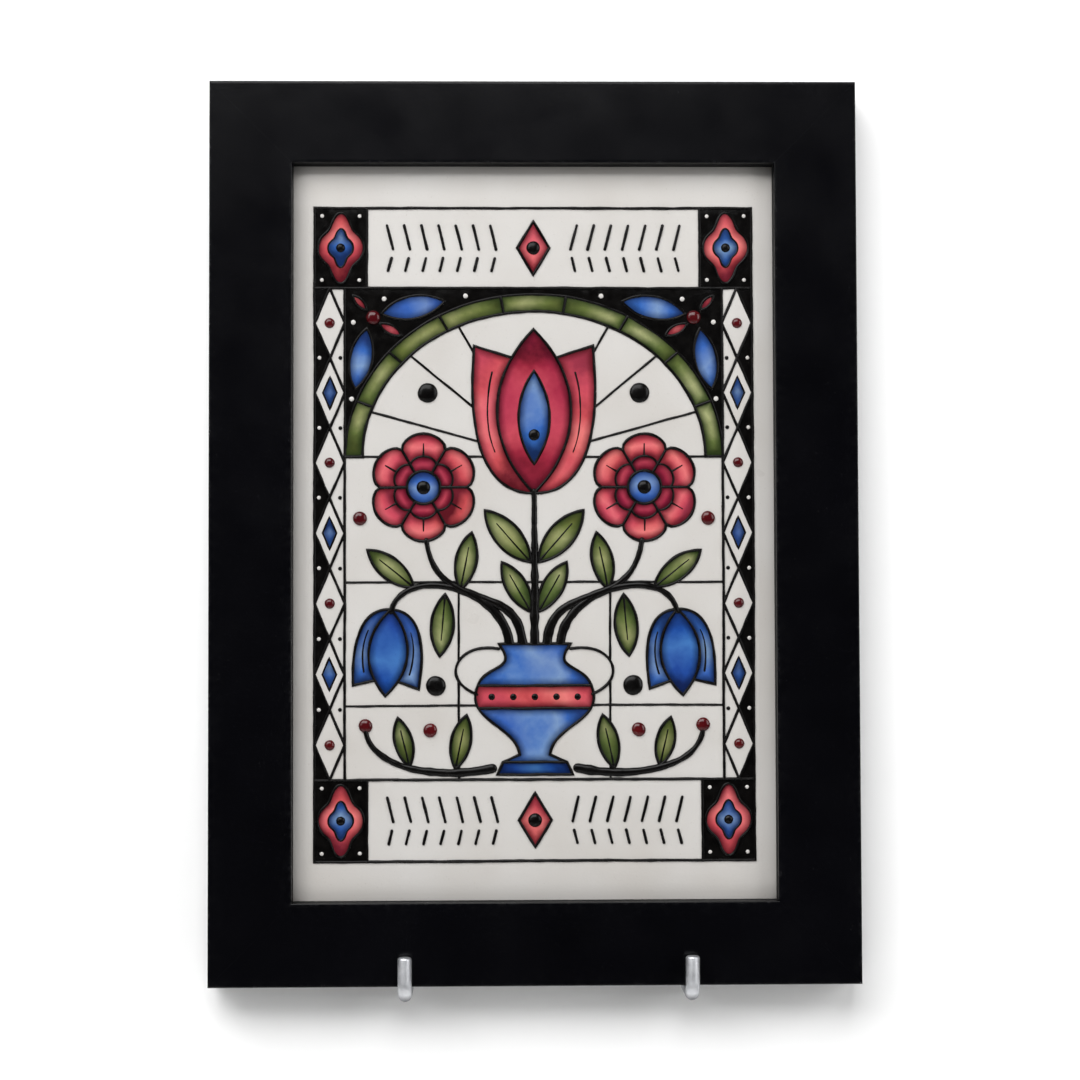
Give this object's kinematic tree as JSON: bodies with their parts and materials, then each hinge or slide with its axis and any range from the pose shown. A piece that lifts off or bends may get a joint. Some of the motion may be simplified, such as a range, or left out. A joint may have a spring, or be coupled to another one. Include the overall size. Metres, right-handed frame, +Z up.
{
  "type": "framed ceramic wall plaque",
  "caption": "Upright ceramic wall plaque with a raised-line vase of flowers, in a flat black mitred frame, resting on J-shaped metal wall pegs.",
  "frame": {"origin": "centre of the flat back, on the wall plane", "axes": "+Z up the wall, -Y out of the plaque's face towards the viewer, +X to the viewer's right"},
  "size_m": [0.2576, 0.027, 0.3644],
  "materials": {
    "glazed_ceramic": "glossy off-white glaze with coral, blue and green areas between raised black slip lines",
    "black_lacquered_wood": "satin black lacquer",
    "brown_hardboard": "plain pressed board",
    "plated_steel": "bright zinc plate"
  },
  "bodies": {
    "root": {"ceramic_plaque": "glazed_ceramic", "frame_rail_top": "black_lacquered_wood", "frame_rail_bottom": "black_lacquered_wood", "frame_rail_left": "black_lacquered_wood", "frame_rail_right": "black_lacquered_wood", "backing_board": "brown_hardboard", "wall_peg_left": "plated_steel", "wall_peg_right": "plated_steel"}
  },
  "joints": []
}
